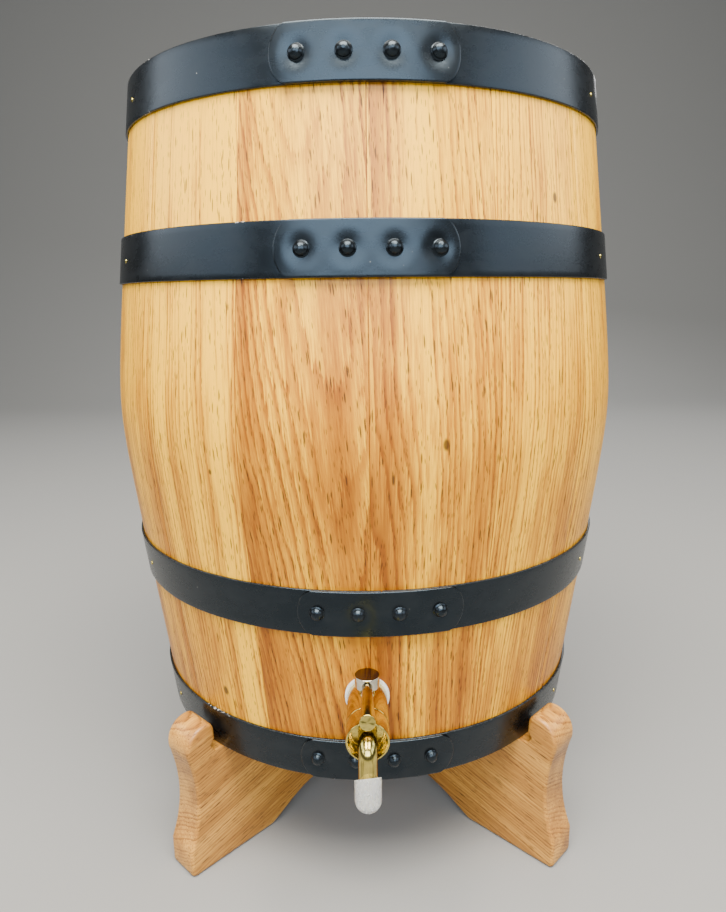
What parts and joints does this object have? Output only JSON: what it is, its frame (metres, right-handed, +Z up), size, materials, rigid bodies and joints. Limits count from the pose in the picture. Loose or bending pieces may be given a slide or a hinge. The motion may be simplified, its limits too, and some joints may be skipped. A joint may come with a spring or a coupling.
{
  "type": "oak wine barrel",
  "caption": "Small upright oak barrel with riveted black hoops, a brass plug tap with a capped spout, and a crossed-board oak stand it lifts off.",
  "frame": {"origin": "on the floor, under the middle of the whole object's outline (tap lever to the back of the barrel)", "axes": "+Z up, the tap points to -Y, +X is to the right of someone facing the tap; the barrel's axis stands 24.8 mm behind the origin"},
  "size_m": [0.3668, 0.417, 0.53],
  "materials": {
    "stave_oak": "lacquered honey oak, semi-gloss",
    "head_oak": "planed pale oak",
    "stand_oak": "sanded and lacquered pale oak",
    "black_steel": "satin black paint",
    "tap_brass": "polished",
    "knob_brass": "polished, paler than the body",
    "clear_silicone": "milky translucent silicone",
    "black_rubber": "matt",
    "zinc_steel": "zinc plated"
  },
  "bodies": {
    "stand": {"stand_board_lower": "stand_oak", "stand_board_upper": "stand_oak", "stand_screw": "zinc_steel"},
    "barrel": {"stave_01": "stave_oak", "stave_02": "stave_oak", "stave_03": "stave_oak", "stave_04": "stave_oak", "stave_05": "stave_oak", "stave_06": "stave_oak", "stave_07": "stave_oak", "stave_08": "stave_oak", "stave_09": "stave_oak", "stave_10": "stave_oak", "stave_11": "stave_oak", "stave_12": "stave_oak", "stave_13": "stave_oak", "stave_14": "stave_oak", "stave_15": "stave_oak", "lower_head_front_board": "head_oak", "lower_head_middle_board": "head_oak", "lower_head_back_board": "head_oak", "upper_head_front_board": "head_oak", "upper_head_middle_board": "head_oak", "upper_head_back_board": "head_oak", "head_hoop_strip": "black_steel", "upper_hoop_strip": "black_steel", "lower_hoop_strip": "black_steel", "foot_hoop_strip": "black_steel", "head_hoop_plate": "black_steel", "upper_hoop_plate": "black_steel", "lower_hoop_plate": "black_steel", "foot_hoop_plate": "black_steel", "head_hoop_rivet_1": "black_steel", "head_hoop_rivet_2": "black_steel", "head_hoop_rivet_3": "black_steel", "head_hoop_rivet_4": "black_steel", "upper_hoop_rivet_1": "black_steel", "upper_hoop_rivet_2": "black_steel", "upper_hoop_rivet_3": "black_steel", "upper_hoop_rivet_4": "black_steel", "lower_hoop_rivet_1": "black_steel", "lower_hoop_rivet_2": "black_steel", "lower_hoop_rivet_3": "black_steel", "lower_hoop_rivet_4": "black_steel", "foot_hoop_rivet_1": "black_steel", "foot_hoop_rivet_2": "black_steel", "foot_hoop_rivet_3": "black_steel", "foot_hoop_rivet_4": "black_steel", "tap_body": "tap_brass", "tap_front_ring": "tap_brass", "tap_outer_washer": "clear_silicone", "tap_inner_washer": "clear_silicone", "tap_lock_nut": "tap_brass", "tap_spout": "tap_brass"},
    "bung": {"bung": "head_oak"},
    "valve": {"tap_plug": "tap_brass", "tap_plug_seal": "black_rubber", "tap_knob": "knob_brass", "tap_lever": "tap_brass"},
    "spout_cap": {"spout_cap": "clear_silicone"}
  },
  "joints": [
    {"name": "barrel_lift", "type": "slide", "parent": "stand", "child": "barrel", "axis": [0, 0, 1], "range_m": [0, 0.06]},
    {"name": "bung_pull", "type": "slide", "parent": "barrel", "child": "bung", "axis": [0, 0, 1], "range_m": [0, 0.05]},
    {"name": "valve_turn", "type": "hinge", "parent": "barrel", "child": "valve", "pos_m": [0, -0.1522, 0.167], "axis": [0, 0, 1], "range_deg": [0, 90]},
    {"name": "spout_cap_pull", "type": "slide", "parent": "barrel", "child": "spout_cap", "axis": [0, 0, -1], "range_m": [0, 0.03]}
  ]
}
